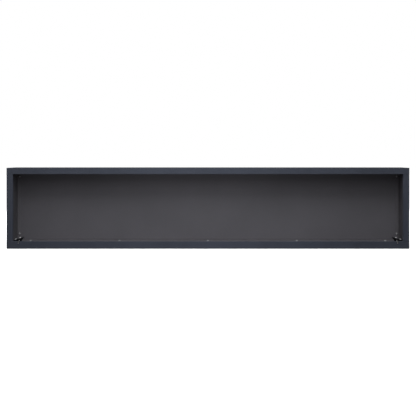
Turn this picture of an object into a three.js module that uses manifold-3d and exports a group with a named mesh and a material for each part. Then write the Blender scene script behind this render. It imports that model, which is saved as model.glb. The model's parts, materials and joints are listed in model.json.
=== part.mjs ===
// A linear electric fireplace: a long, low steel casing round a shallow, open-fronted fire recess.
// Behind the recess's dark screen lies a flat machine space. Two foil rotors turn over a strip of LEDs
// and throw moving light on the screen, and a cross-flow blower pushes air through a heating element
// and out of a grille in the recess's ceiling. The controls face down in the same ceiling.
//
// Millimetres, +Z up. X runs along the width, the open front faces -Y, and the origin is at the centre
// of the base. Every piece is a separate closed solid, and neighbours keep a 0.3 mm gap.

import * as THREE from "three";
import { mergeVertices } from "three/addons/utils/BufferGeometryUtils.js";
import Module from "manifold-3d";

const wasm = await Module();
wasm.setup();

// ---------------------------------------------------------------- driving dimensions

const WIDTH = 1800;
const HEIGHT = 362;
const DEPTH = 160;
const RAIL_FACE = 28; // face width of the top rail
const STILE_FACE = 27;
const SILL_FACE = 33; // face width of the bottom rail
const RECESS_DEPTH = 98; // from the frame's front to the screen
const FRAME_SHEET = 1.5;
const SHEET = 1.2; // casing and recess
const CLIP_SHEET = 0.8; // the glass clips, which hook over the sill's front
const GAP = 0.3; // between pieces that touch
const SCREW_HOLE = 2.6; // radius of a clearance hole
const PAST = 5; // how far a cutting tool reaches past the sheet that it cuts
const SINK = 0.2; // how far a feature's root lies inside the body that it is joined to

const HALF = WIDTH / 2;
const FRONT = -DEPTH / 2 + CLIP_SHEET + GAP;
const REAR = DEPTH / 2;
const OPEN_X = HALF - STILE_FACE; // the opening's half width
const OPEN_LOW = SILL_FACE;
const OPEN_HIGH = HEIGHT - RAIL_FACE;

// The frame's returns: the outer one meets the casing's edge, the inner one lines the opening.
const OUTER_RETURN = 16;
const INNER_RETURN = 14;
const SEAM_Y = FRONT + OUTER_RETURN; // where the frame's outer return ends
const LIP_Y = FRONT + INNER_RETURN; // where its inner return ends
const LIP_LAP = 12; // how far the casing's stepped lip reaches under the frame

// The recess: its sheets lie just outside the frame's inner returns.
const WALL_X = OPEN_X + FRAME_SHEET + GAP; // inner face of a side wall
const FLOOR_TOP = OPEN_LOW - FRAME_SHEET - GAP;
const CEILING_LOW = OPEN_HIGH + FRAME_SHEET + GAP;
const RECESS_FRONT = FRONT + 4; // front edge of the recess's sheets, hidden behind the frame
const SCREEN_FRONT = FRONT + RECESS_DEPTH + GAP;
const SCREEN_THICK = 3;
const WALL_FLANGE = 15; // the side walls' rear flanges, which hold the screen
const FLOOR_REAR = SCREEN_FRONT + SCREEN_THICK + 1.7;
const FLOOR_RETURN = 12; // depth of the floor's rear edge, which turns down
const CEILING_RETURN = 14; // height of the ceiling's rear edge, which turns up

const REAR_COVER_FRONT = REAR - SHEET;
const RETURN_REAR = REAR_COVER_FRONT - GAP; // rear face of the casing's rear returns
const RETURN_WIDTH = 14;

// Flame rotors: both on one axis low in the machine space.
const ROTOR_Y = 52;
const ROTOR_Z = 62;
const ROTOR_RADIUS = 18;
const SHAFT_R = 3;
const RUNNING = 0.4; // radial clearance round a shaft
const BEARING_HALF = 8;
const BRACKET_X = 840; // inner face of a motor bracket

// Blower: a cross-flow wheel high in the middle of the machine space.
const BLOWER_Y = 48;
const BLOWER_Z = 296;
const WHEEL_R = 20;
const WHEEL_HALF = 120;

// Control panel in the recess's ceiling.
const PANEL_X = 756;
const PANEL_Y = -42;

// ---------------------------------------------------------------- solids

// A three.js geometry as a solid that can be cut and joined.
function toSolid(geometry) {
  const bare = geometry.clone();
  bare.deleteAttribute("normal");
  bare.deleteAttribute("uv");
  const merged = mergeVertices(bare, 1e-4);
  return new wasm.Manifold(
    new wasm.Mesh({
      numProp: 3,
      vertProperties: merged.attributes.position.array,
      triVerts: new Uint32Array(merged.index.array),
    }),
  );
}

function toGeometry(solid) {
  const mesh = solid.getMesh();
  const geometry = new THREE.BufferGeometry();
  geometry.setAttribute("position", new THREE.BufferAttribute(mesh.vertProperties, 3));
  geometry.setIndex(new THREE.BufferAttribute(mesh.triVerts, 1));
  geometry.computeVertexNormals();
  return geometry;
}

const join = (...solids) => solids.reduce((a, b) => a.add(b));
const cut = (solid, ...tools) => tools.reduce((a, b) => a.subtract(b), solid);

// A box from its ranges along X, Y and Z.
function box([x0, x1], [y0, y1], [z0, z1]) {
  const g = new THREE.BoxGeometry(x1 - x0, y1 - y0, z1 - z0);
  g.translate((x0 + x1) / 2, (y0 + y1) / 2, (z0 + z1) / 2);
  return toSolid(g);
}

// An outline, extruded along a row axis between two places on that axis. The outline's own
// coordinates are (y, z) along X, (x, z) along Y and (x, y) along Z. Holes are outlines too.
const BASES = {
  x: [[0, 1, 0], [0, 0, 1], [1, 0, 0]],
  y: [[1, 0, 0], [0, 0, 1], [0, -1, 0]],
  z: [[1, 0, 0], [0, 1, 0], [0, 0, 1]],
};

function extrude(axis, outline, [from, to], curveSegments) {
  const shape = Array.isArray(outline)
    ? new THREE.Shape(outline.map(([u, v]) => new THREE.Vector2(u, v)))
    : outline;
  const g = new THREE.ExtrudeGeometry(shape, { depth: to - from, bevelEnabled: false, curveSegments });
  g.translate(0, 0, axis === "y" ? -to : from);
  g.applyMatrix4(new THREE.Matrix4().makeBasis(...BASES[axis].map((v) => new THREE.Vector3(...v))));
  return toSolid(g);
}

function prism(axis, outline, [from, to], holes = [], curveSegments = 6) {
  const tools = holes.map((hole) => extrude(axis, hole, [from - 1, to + 1], curveSegments));
  return cut(extrude(axis, outline, [from, to], curveSegments), ...tools);
}

// A round bar along a row axis, centred on (u, v) in that axis's outline coordinates.
function bar(axis, radius, [u, v], range, sides = 20) {
  const corners = Array.from({ length: sides }, (_, i) => {
    const a = ((i + 0.5) / sides) * 2 * Math.PI;
    return [u + radius * Math.cos(a), v + radius * Math.sin(a)];
  });
  return prism(axis, corners, range);
}

const rect = ([u0, u1], [v0, v1]) => [[u0, v0], [u1, v0], [u1, v1], [u0, v1]];

// The solid, moved by a matrix. A mirror also turns each triangle's corners round.
function moved(solid, matrix) {
  const g = toGeometry(solid);
  g.applyMatrix4(matrix);
  if (matrix.determinant() < 0) g.index.array.reverse();
  return toSolid(g);
}

const mirrorX = (solid) => moved(solid, new THREE.Matrix4().makeScale(-1, 1, 1));

// ---------------------------------------------------------------- finishes

const finish = (color, roughness, metalness) =>
  new THREE.MeshStandardMaterial({ color, roughness, metalness });
const FINISH = {
  frameCoat: () => finish(0x383c46, 0.5, 0.2),
  recessCoat: () => finish(0x3f3e43, 0.65, 0.1),
  blackCoat: () => finish(0x0c0c0e, 0.35, 0.0),
  screen: () => finish(0x4c4b50, 0.7, 0.0),
  zinc: () => finish(0xb4b4b2, 0.35, 0.9),
  foil: () => finish(0xc8c8cc, 0.25, 0.95),
  whitePlastic: () => finish(0xd8d6cf, 0.5, 0.0),
  blackPlastic: () => finish(0x17181a, 0.45, 0.0),
  gloss: () => finish(0x0b0b0e, 0.12, 0.0),
  board: () => finish(0x1f5a35, 0.5, 0.0),
  whiteBoard: () => finish(0xe4e2da, 0.5, 0.0),
  copper: () => finish(0xa5663f, 0.4, 0.8),
  cable: () => finish(0x1d1d1f, 0.6, 0.0),
};

const fireplace = new THREE.Group();

function place(parent, name, solid, material, position = [0, 0, 0]) {
  const mesh = new THREE.Mesh(toGeometry(solid), material);
  mesh.name = name;
  mesh.position.set(...position);
  parent.add(mesh);
  return mesh;
}

function group(position = [0, 0, 0]) {
  const made = new THREE.Group();
  made.position.set(...position);
  fireplace.add(made);
  return made;
}

// ---------------------------------------------------------------- front frame

// A rail is a channel open to the rear: face, outer return and inner return. Here the outer
// return is at v = 0 and the inner one at v = face.
function channel(face) {
  return [
    [SEAM_Y, 0],
    [FRONT, 0],
    [FRONT, face],
    [LIP_Y, face],
    [LIP_Y, face - FRAME_SHEET],
    [FRONT + FRAME_SHEET, face - FRAME_SHEET],
    [FRONT + FRAME_SHEET, FRAME_SHEET],
    [SEAM_Y, FRAME_SHEET],
  ];
}

const flip = (outline, map) => outline.map(map).reverse();

function rail(outline, [low, high]) {
  const inset = FRAME_SHEET / 2;
  const cap = (x) => box([x, x + FRAME_SHEET], [FRONT + inset, SEAM_Y], [low + inset, high - inset]);
  return join(prism("x", outline, [-HALF, HALF]), cap(-HALF), cap(HALF - FRAME_SHEET));
}

function buildFrame() {
  const frame = group();
  const top = flip(channel(RAIL_FACE), ([y, v]) => [y, HEIGHT - v]);
  place(frame, "frame_top_rail", rail(top, [OPEN_HIGH, HEIGHT]), FINISH.frameCoat());
  place(frame, "frame_bottom_rail", rail(channel(SILL_FACE), [0, OPEN_LOW]), FINISH.frameCoat());
  const stile = prism(
    "z",
    channel(STILE_FACE).map(([y, v]) => [HALF - v, y]),
    [OPEN_LOW + GAP, OPEN_HIGH - GAP],
  );
  place(frame, "frame_right_stile", stile, FINISH.frameCoat());
  place(frame, "frame_left_stile", mirrorX(stile), FINISH.frameCoat());
}

// ---------------------------------------------------------------- casing

// A casing panel: a plate at v = 0, a lip that steps in under the frame, and a rear return.
function casingOutline() {
  const lipOut = FRAME_SHEET + GAP;
  const lipFront = SEAM_Y + GAP - LIP_LAP;
  return [
    [RETURN_REAR, 0],
    [SEAM_Y + GAP, 0],
    [SEAM_Y + GAP, lipOut],
    [lipFront, lipOut],
    [lipFront, lipOut + SHEET],
    [SEAM_Y + GAP + SHEET, lipOut + SHEET],
    [SEAM_Y + GAP + SHEET, SHEET],
    [RETURN_REAR - SHEET, SHEET],
    [RETURN_REAR - SHEET, RETURN_WIDTH],
    [RETURN_REAR, RETURN_WIDTH],
  ];
}

// Air slots in the base, under the machine space: rows of slots either side of the middle.
const SLOT_LENGTH = 44;
const SLOT_WIDTH = 6;
const SLOT_ROWS = [44, 56, 68];
const SLOT_PITCH = 60;
const SLOTS_A_SIDE = 5;

function airSlots() {
  const slots = [];
  for (const y of SLOT_ROWS)
    for (let i = 0; i < SLOTS_A_SIDE; i++)
      for (const side of [-1, 1]) {
        const x = side * (SLOT_PITCH / 2 + i * SLOT_PITCH);
        slots.push(
          box(
            [x - SLOT_LENGTH / 2, x + SLOT_LENGTH / 2],
            [y - SLOT_WIDTH / 2, y + SLOT_WIDTH / 2],
            [-PAST, SHEET + PAST],
          ),
        );
      }
  return slots;
}

// The long panels' lips and rear returns stop short of the side panels' own.
const LIP_SHORT = 4;
const RETURN_SHORT = RETURN_WIDTH + 1;

function shortenEnds(panel, [low, high]) {
  const inside = [low + SHEET, high - SHEET];
  const ends = [];
  for (const side of [-1, 1]) {
    const end = (short) => (side > 0 ? [HALF - short, HALF + PAST] : [-HALF - PAST, short - HALF]);
    ends.push(box(end(LIP_SHORT), [FRONT, SEAM_Y + GAP], [low, high]));
    ends.push(box(end(LIP_SHORT), [FRONT, SEAM_Y + PAST], inside));
    ends.push(box(end(RETURN_SHORT), [RETURN_REAR - PAST, REAR], inside));
  }
  return cut(panel, ...ends);
}

// Keyhole windows in the rear cover, over the hanging brackets.
const HANG_X = 600;
const HANG_Z = 250;
const WINDOW = { half: 16, low: -22, high: 26 };

// The junction box's window in the right side panel.
const JUNCTION = { y: [30, 70], z: [110, 170], lap: 6, ring: { radius: 12, width: 1.4, height: 0.8 } };

function buildCasing() {
  const casing = group();
  const outline = casingOutline();
  const top = prism("x", flip(outline, ([y, v]) => [y, HEIGHT - v]), [-HALF, HALF]);
  place(casing, "casing_top", shortenEnds(top, [HEIGHT / 2, HEIGHT]), FINISH.frameCoat());
  const base = cut(prism("x", outline, [-HALF, HALF]), ...airSlots());
  place(casing, "casing_base", shortenEnds(base, [0, HEIGHT / 2]), FINISH.frameCoat());

  // Side panels stand between the long ones. Their lips stop at the rails.
  const lipZone = [FRONT, SEAM_Y + GAP + SHEET + 1];
  const lipX = [HALF - PAST, HALF - SHEET];
  const clear = 2; // from a rail to a side panel's lip
  const side = cut(
    prism("z", outline.map(([y, v]) => [HALF - v, y]), [SHEET + GAP, HEIGHT - SHEET - GAP]),
    box(lipX, lipZone, [0, OPEN_LOW + clear]),
    box(lipX, lipZone, [OPEN_HIGH - clear, HEIGHT]),
  );
  const window = box([HALF - PAST, HALF + PAST], JUNCTION.y, JUNCTION.z);
  place(casing, "casing_right_side", cut(side, window), FINISH.frameCoat());
  place(casing, "casing_left_side", mirrorX(side), FINISH.frameCoat());

  const windows = [-HANG_X, HANG_X].map((x) =>
    box(
      [x - WINDOW.half, x + WINDOW.half],
      [REAR - PAST, REAR + PAST],
      [HANG_Z + WINDOW.low, HANG_Z + WINDOW.high],
    ),
  );
  const cover = cut(box([-HALF, HALF], [REAR_COVER_FRONT, REAR], [0, HEIGHT]), ...windows);
  place(casing, "rear_cover", cover, FINISH.frameCoat());
}

// Keyhole plates behind the rear cover's windows: a screw's head goes in at the round hole, and
// the unit then drops until the screw's neck is in the slot.
const KEYHOLE = { head: 7, headZ: -8, neck: 3.4, drop: 14 };
const HANGER = { half: 26, thick: 2.5, low: -34, high: 38 };

function buildHangers() {
  const hangers = group();
  const { head, headZ, neck, drop } = KEYHOLE;
  const { half, thick, low, high } = HANGER;
  const through = [-thick - PAST, PAST];
  const keyhole = join(
    bar("y", head, [0, headZ], through),
    box([-neck, neck], through, [headZ, drop]),
    bar("y", neck, [0, drop], through, 12),
  );
  const plate = cut(box([-half, half], [-thick, 0], [low, high]), keyhole);
  for (const [name, x] of [["left", -HANG_X], ["right", HANG_X]])
    place(hangers, `hanging_bracket_${name}`, plate, FINISH.zinc(), [x, REAR_COVER_FRONT - GAP, HANG_Z]);
}

// ---------------------------------------------------------------- recess

const GRILLE = {
  x: 200, // half length of the warm-air opening in the ceiling
  y: [-58, -22], // and its range along Y
  border: 6, // the grille's frame, outside that opening
  rim: 3, // and inside it
  bars: 20,
  slot: 0.72, // the open part of each pitch
  thick: 1.5,
};
const PANEL_HOLE = { x: 55, y: 14 }; // half sizes of the control panel's cut-out
const DUCT_HALF = WHEEL_HALF + 14; // the gap in the ceiling's rear flange for the air

const FLOOR_SCREWS = [-800, -400, 0, 400, 800];
const FLOOR_SCREW_Y = FRONT + 34;
const SCREEN_SCREW_X = 866;
const SCREEN_SCREWS_Z = [58, 321];
const FLOOR_SCREW = { head: 4.8, high: 4.4, shank: 2.1, length: 9 };
const SCREEN_SCREW = { head: 4.2, high: 3, shank: 2.1, length: 8 };

// The support rail's hat section: half widths over its crown and over its feet, and half length.
const SUPPORT = { crown: 10, feet: 15, half: 860 };

function buildRecess() {
  const recess = group();
  const sheetHalf = WALL_X + SHEET;

  // Floor: its rear edge turns down under the screen.
  const floor = prism("x", [
    [RECESS_FRONT, FLOOR_TOP],
    [RECESS_FRONT, FLOOR_TOP - SHEET],
    [FLOOR_REAR - SHEET, FLOOR_TOP - SHEET],
    [FLOOR_REAR - SHEET, FLOOR_TOP - FLOOR_RETURN],
    [FLOOR_REAR, FLOOR_TOP - FLOOR_RETURN],
    [FLOOR_REAR, FLOOR_TOP],
  ], [-sheetHalf, sheetHalf]);
  const screwHoles = FLOOR_SCREWS.map((x) =>
    bar("z", SCREW_HOLE, [x, FLOOR_SCREW_Y], [0, FLOOR_TOP + PAST], 12),
  );
  place(recess, "recess_floor", cut(floor, ...screwHoles), FINISH.recessCoat());

  // Ceiling: its rear edge turns up, with a gap where the warm air comes forward.
  const ceiling = prism("x", [
    [RECESS_FRONT, CEILING_LOW],
    [FLOOR_REAR, CEILING_LOW],
    [FLOOR_REAR, CEILING_LOW + CEILING_RETURN],
    [FLOOR_REAR - SHEET, CEILING_LOW + CEILING_RETURN],
    [FLOOR_REAR - SHEET, CEILING_LOW + SHEET],
    [RECESS_FRONT, CEILING_LOW + SHEET],
  ], [-sheetHalf, sheetHalf]);
  const upward = [CEILING_LOW - PAST, HEIGHT];
  const ceilingHoles = [
    box([-GRILLE.x, GRILLE.x], GRILLE.y, upward),
    box(
      [PANEL_X - PANEL_HOLE.x, PANEL_X + PANEL_HOLE.x],
      [PANEL_Y - PANEL_HOLE.y, PANEL_Y + PANEL_HOLE.y],
      upward,
    ),
    box([-DUCT_HALF, DUCT_HALF], [FLOOR_REAR - PAST, FLOOR_REAR + PAST], [CEILING_LOW + SHEET, HEIGHT]),
  ];
  place(recess, "recess_ceiling", cut(ceiling, ...ceilingHoles), FINISH.recessCoat());

  // Side walls: the rear flange turns in and holds the screen's edge.
  const flangeRear = SCREEN_FRONT - GAP;
  const wallOutline = [
    [WALL_X, RECESS_FRONT],
    [sheetHalf, RECESS_FRONT],
    [sheetHalf, flangeRear],
    [WALL_X - WALL_FLANGE, flangeRear],
    [WALL_X - WALL_FLANGE, flangeRear - SHEET],
    [WALL_X, flangeRear - SHEET],
  ];
  const frameZone = [FRONT, LIP_Y + GAP];
  const atScreen = [SCREEN_FRONT - 2 * PAST, SCREEN_FRONT + 2 * PAST];
  const wall = cut(
    prism("z", wallOutline, [FLOOR_TOP + GAP, CEILING_LOW - GAP]),
    box([WALL_X - 1, sheetHalf + 1], frameZone, [0, OPEN_LOW + GAP]),
    box([WALL_X - 1, sheetHalf + 1], frameZone, [OPEN_HIGH - GAP, HEIGHT]),
    ...SCREEN_SCREWS_Z.map((z) => bar("y", SCREW_HOLE, [SCREEN_SCREW_X, z], atScreen, 12)),
  );
  place(recess, "recess_right_wall", wall, FINISH.recessCoat());
  place(recess, "recess_left_wall", mirrorX(wall), FINISH.recessCoat());

  // The screen stands on the floor, behind the walls' flanges.
  const screenHoles = SCREEN_SCREWS_Z.flatMap((z) =>
    [-SCREEN_SCREW_X, SCREEN_SCREW_X].map((x) => bar("y", SCREW_HOLE, [x, z], atScreen, 12)),
  );
  const screen = box(
    [-WALL_X, WALL_X],
    [SCREEN_FRONT, SCREEN_FRONT + SCREEN_THICK],
    [FLOOR_TOP + GAP, CEILING_LOW - GAP],
  );
  place(recess, "flame_screen", cut(screen, ...screenHoles), FINISH.screen());

  // Warm-air grille, under the ceiling's opening.
  const { border, rim, bars } = GRILLE;
  const pitch = (2 * GRILLE.x) / bars;
  const slot = (GRILLE.slot * pitch) / 2;
  const openings = Array.from({ length: bars }, (_, i) => {
    const x = -GRILLE.x + (i + 0.5) * pitch;
    return rect([x - slot, x + slot], [GRILLE.y[0] + rim, GRILLE.y[1] - rim]);
  });
  const grille = prism(
    "z",
    rect([-GRILLE.x - border, GRILLE.x + border], [GRILLE.y[0] - border, GRILLE.y[1] + border]),
    [CEILING_LOW - GAP - GRILLE.thick, CEILING_LOW - GAP],
    openings,
  );
  place(recess, "outlet_grille", grille, FINISH.recessCoat());

  // A support rail under the floor takes the floor's screws. It is a hat section on the base.
  const railTop = FLOOR_TOP - SHEET - GAP;
  const railFoot = SHEET + GAP;
  const { crown, feet, half } = SUPPORT;
  const hat = [
    [-feet, railFoot],
    [SHEET - crown, railFoot],
    [SHEET - crown, railTop - SHEET],
    [crown - SHEET, railTop - SHEET],
    [crown - SHEET, railFoot],
    [feet, railFoot],
    [feet, railFoot + SHEET],
    [crown, railFoot + SHEET],
    [crown, railTop],
    [-crown, railTop],
    [-crown, railFoot + SHEET],
    [-feet, railFoot + SHEET],
  ].map(([y, z]) => [FLOOR_SCREW_Y + y, z]);
  place(recess, "floor_support_rail", cut(prism("x", hat, [-half, half]), ...screwHoles), FINISH.zinc());
}

// A pan-head screw along +Z, its head's underside at z = 0.
function panScrew({ head, high, shank, length }) {
  const points = [
    [0, -length],
    [shank, -length],
    [shank, 0],
    [head, 0],
    [head, high * 0.45],
    [head * 0.72, high * 0.88],
    [0, high],
  ];
  const profile = points.map(([r, z]) => new THREE.Vector2(r, z));
  const g = new THREE.LatheGeometry(profile, 16);
  g.rotateX(Math.PI / 2);
  return toSolid(g);
}

function buildScrews() {
  const screws = group();
  const floorScrew = panScrew(FLOOR_SCREW);
  FLOOR_SCREWS.forEach((x, i) =>
    place(screws, `floor_screw_${i + 1}`, floorScrew, FINISH.zinc(), [x, FLOOR_SCREW_Y, FLOOR_TOP + GAP]),
  );
  const screenScrew = panScrew(SCREEN_SCREW);
  const seatY = SCREEN_FRONT - GAP - SHEET - GAP;
  let count = 0;
  for (const x of [-SCREEN_SCREW_X, SCREEN_SCREW_X])
    for (const z of SCREEN_SCREWS_Z) {
      count += 1;
      const screw = place(screws, `screen_screw_${count}`, screenScrew, FINISH.zinc(), [x, seatY, z]);
      screw.rotation.x = Math.PI / 2; // the head faces -Y
    }
}

// ---------------------------------------------------------------- glass fittings

// A glass bracket is a black gusset in a lower front corner. Its top edge rises towards the middle
// and is rolled back. A spring clip hooks over the sill in front of it, so that the foot of a glass
// pane can stand between the two.
const BRACKET = {
  setBack: 5, // from the frame's inner return to the plate
  roll: 5, // outer radius of the rolled edge
  flange: 8, // straight part of the rolled edge
  slope: 17.7, // degrees
  crest: [871, 37.9], // x and z of the top edge near the side wall
  toe: [846.5, 21.4], // the slanting inner end passes through these two
  tip: [826, 50.5],
  blank: 60, // half length of the plate, and its height, before it is trimmed
};
const CLIP = { x: 847, width: 4, low: 23.4, high: 38.4 };

// The bracket's plate before it is trimmed: upright at y = 0, its rolled edge along z = 0.
function rolledPlate() {
  const { roll, flange, blank } = BRACKET;
  const STEPS = 6;
  const arc = (radius) =>
    Array.from({ length: STEPS + 1 }, (_, i) => {
      const a = ((i / STEPS) * Math.PI) / 2;
      return [roll - radius * Math.cos(a), -roll + radius * Math.sin(a)];
    });
  return prism("x", [
    [0, -blank],
    ...arc(roll),
    [roll + flange, 0],
    [roll + flange, -SHEET],
    ...arc(roll - SHEET).reverse(),
    [SHEET, -blank],
  ], [-blank, blank]);
}

function buildGlassFittings() {
  const fittings = group();
  const foot = FLOOR_TOP + GAP;
  const { crest, toe, tip, blank, setBack } = BRACKET;
  const tilted = new THREE.Matrix4()
    .makeTranslation(crest[0], LIP_Y + setBack, crest[1])
    .multiply(new THREE.Matrix4().makeRotationY(THREE.MathUtils.degToRad(BRACKET.slope)));
  const inner = crest[0] - 2 * blank; // well inside the bracket's own reach
  const outer = crest[0] + 2 * blank;
  const bracket = cut(
    moved(rolledPlate(), tilted),
    box([WALL_X - GAP, outer], [FRONT, REAR], [-2 * blank, 2 * blank]),
    box([inner, outer], [FRONT, REAR], [-2 * blank, foot]),
    prism("y", [[inner, toe[1]], toe, tip, [tip[0], HEIGHT], [inner, HEIGHT]], [FRONT, REAR]),
  );
  place(fittings, "glass_bracket_right", bracket, FINISH.blackCoat());
  place(fittings, "glass_bracket_left", mirrorX(bracket), FINISH.blackCoat());

  const [front, back] = [FRONT - GAP, LIP_Y + GAP];
  const seat = SILL_FACE + GAP;
  const clip = prism("x", [
    [front - CLIP_SHEET, CLIP.low],
    [front, CLIP.low],
    [front, seat],
    [back, seat],
    [back, foot],
    [back + CLIP_SHEET, foot],
    [back + CLIP_SHEET, CLIP.high],
    [back, CLIP.high],
    [back, seat + CLIP_SHEET],
    [front - CLIP_SHEET, seat + CLIP_SHEET],
  ], [-CLIP.width / 2, CLIP.width / 2]);
  place(fittings, "glass_clip_right", clip, FINISH.zinc(), [CLIP.x, 0, 0]);
  place(fittings, "glass_clip_left", clip, FINISH.zinc(), [-CLIP.x, 0, 0]);
}

// ---------------------------------------------------------------- flame mechanism

// A rotor is a shaft with foil flags fixed to it, each turned on from the last so that the light
// flickers.
const FLAG = { count: 16, length: 26, thick: 0.8, turn: 67.5, skew: 14 };
const SHAFT_START = 2; // the shafts' inner ends, either side of the middle
const SHAFT_IN_MOTOR = 1; // how far a shaft reaches into its motor's boss

function rotor([start, end]) {
  const shaft = bar("x", SHAFT_R, [0, 0], [SHAFT_START, BRACKET_X + SHAFT_IN_MOTOR], 12);
  const pitch = (end - start) / FLAG.count;
  const flags = Array.from({ length: FLAG.count }, (_, i) => {
    const g = new THREE.BoxGeometry(FLAG.length, ROTOR_RADIUS, FLAG.thick);
    g.translate(0, ROTOR_RADIUS / 2, 0);
    g.rotateY(THREE.MathUtils.degToRad(i % 2 ? FLAG.skew : -FLAG.skew));
    g.rotateX(THREE.MathUtils.degToRad(i * FLAG.turn));
    g.translate(start + (i + 0.5) * pitch, 0, 0);
    return toSolid(g);
  });
  return join(shaft, ...flags);
}

// A slow synchronous gearmotor: a round can, a boss with the output bore, and two ears. Its
// bracket's inner face is at x = 0.
const MOTOR = { can: 25, front: 2, length: 18, bossFront: -4, bossRadius: 7, ear: 33, earWidth: 10 };
const MOTOR_BRACKET = { thick: 1.5, half: 24, top: 34, foot: 23.5, hole: 8 };

function gearmotor() {
  const { can, front, length, bossFront, bossRadius, ear, earWidth } = MOTOR;
  const body = join(
    bar("x", can, [0, 0], [front, front + length], 32),
    bar("x", bossRadius, [0, 0], [bossFront, front + SINK], 20),
    box([front, front + SHEET], [-earWidth / 2, earWidth / 2], [-ear, ear]),
  );
  return cut(body, bar("x", SHAFT_R + RUNNING, [0, 0], [bossFront - 1, front + 1], 16));
}

function motorBracket(foot) {
  const { thick, half, top, hole } = MOTOR_BRACKET;
  const plates = join(
    box([0, thick], [-half, half], [foot, top]),
    box([0, MOTOR_BRACKET.foot], [-half, half], [foot, foot + thick]),
  );
  return cut(plates, bar("x", hole, [0, 0], [-1, thick + 1], 20));
}

// The plastic post in which both shafts' inner ends turn.
const POST = { radius: 9, flange: 10, flangeThick: 3 };

function centrePost(foot) {
  const { radius, flange, flangeThick } = POST;
  const base = BEARING_HALF + flange;
  const solid = join(
    box([-BEARING_HALF, BEARING_HALF], [-radius, radius], [foot, 0]),
    bar("x", radius, [0, 0], [-BEARING_HALF, BEARING_HALF], 24),
    box([-base, base], [-radius, radius], [foot, foot + flangeThick]),
  );
  return cut(solid, bar("x", SHAFT_R + RUNNING, [0, 0], [-base, base], 16));
}

// The LED strips lie in front of the rotors, on spacers.
const STRIP = { x: [20, 824], y: 40, half: 6, low: 6, thick: 1.6, spacers: [60, 320, 580, 790], spacer: 8 };
const LED = { count: 16, first: 46, pitch: 50, size: 5, high: 3 };

function ledStrip() {
  const { y, half, low, thick } = STRIP;
  const board = box(STRIP.x, [y - half, y + half], [low, low + thick]);
  const square = (x, side, z) => box([x - side / 2, x + side / 2], [y - side / 2, y + side / 2], z);
  const leds = Array.from({ length: LED.count }, (_, i) =>
    square(LED.first + i * LED.pitch, LED.size, [low + thick - SINK, low + LED.high]),
  );
  const spacers = STRIP.spacers.map((x) => square(x, STRIP.spacer, [SHEET + GAP, low + SINK]));
  return join(board, ...leds, ...spacers);
}

// The reflector stands between the rotors and the screen. Its openings shape the flames.
const REFLECTOR = { half: 828, front: 27, thick: 1, foot: 6, top: 205 };
const FLAMES = {
  foot: 92,
  half: 42,
  pitch: 124,
  rim: 14, // left above the tallest tip
  leans: [-8, 10],
  scales: [1, 0.72, 0.9, 0.62, 0.96, 0.78, 1, 0.66, 0.88, 0.74, 0.94, 0.7, 1],
};

// One flame-shaped opening, centred on x: a wide foot, swelling sides and a leaning tip.
function flameHole(x, scale, lean) {
  const { foot, rim } = FLAMES;
  const half = FLAMES.half * scale;
  const tall = (REFLECTOR.top - foot - rim) * scale;
  const at = (across, up) => [x + half * across, foot + tall * up];
  const path = new THREE.Shape();
  path.moveTo(...at(-0.7, 0));
  path.lineTo(...at(0.7, 0));
  path.quadraticCurveTo(...at(1.3, 0.34), ...at(0.4, 0.58));
  path.quadraticCurveTo(x + half * 0.1 + lean, foot + tall * 0.8, x + lean, foot + tall);
  path.quadraticCurveTo(x - half * 0.3 + lean, foot + tall * 0.7, ...at(-0.8, 0.44));
  path.quadraticCurveTo(...at(-1.2, 0.2), ...at(-0.7, 0));
  return path;
}

function reflector() {
  const { half, front, thick, foot, top } = REFLECTOR;
  const low = SHEET + GAP;
  const holes = FLAMES.scales.map((scale, i) =>
    flameHole((i - (FLAMES.scales.length - 1) / 2) * FLAMES.pitch, scale, FLAMES.leans[i % 2]),
  );
  const plate = prism("y", rect([-half, half], [low, top]), [front, front + thick], holes, 4);
  return join(plate, box([-half, half], [front, front + foot], [low, low + thick]));
}

function buildFlameMechanism() {
  const flame = group([0, ROTOR_Y, ROTOR_Z]);
  const foot = SHEET + GAP - ROTOR_Z;
  const turning = rotor([24, BRACKET_X - 22]);
  place(flame, "flame_rotor_right", turning, FINISH.foil());
  place(flame, "flame_rotor_left", mirrorX(turning), FINISH.foil());

  // The motors hang outside their brackets, with the boss through the bracket's hole.
  const motor = gearmotor();
  const bracket = motorBracket(foot);
  place(flame, "motor_bracket_right", bracket, FINISH.zinc(), [BRACKET_X, 0, 0]);
  place(flame, "flicker_motor_right", motor, FINISH.zinc(), [BRACKET_X, 0, 0]);
  place(flame, "motor_bracket_left", mirrorX(bracket), FINISH.zinc(), [-BRACKET_X, 0, 0]);
  place(flame, "flicker_motor_left", mirrorX(motor), FINISH.zinc(), [-BRACKET_X, 0, 0]);
  place(flame, "rotor_centre_bearing", centrePost(foot), FINISH.whitePlastic());

  const lights = group();
  const strip = ledStrip();
  place(lights, "led_strip_right", strip, FINISH.whiteBoard());
  place(lights, "led_strip_left", mirrorX(strip), FINISH.whiteBoard());
  place(lights, "flame_reflector", reflector(), FINISH.foil());
}

// ---------------------------------------------------------------- heater

const WHEEL = { blades: 20, chord: 6, thick: 1, at: 16.4, pitch: 38, disc: 1.6, shaftEnds: [10, 24] };
const SCROLL = { half: WHEEL_HALF + 5, radius: 22.8, sheet: 1.2, top: 27, front: -22, tongue: 2, low: -24 };
const SHADED = { gap: 6, stack: 20, half: 21, low: -24, top: 22, coilLow: -40, coilHalf: 13, bore: 8 };
const HEATER = { half: SCROLL.half - 2, y: [-23, 24], low: 28, high: 46, sheet: 1.5, fins: 24, margin: 4 };

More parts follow.
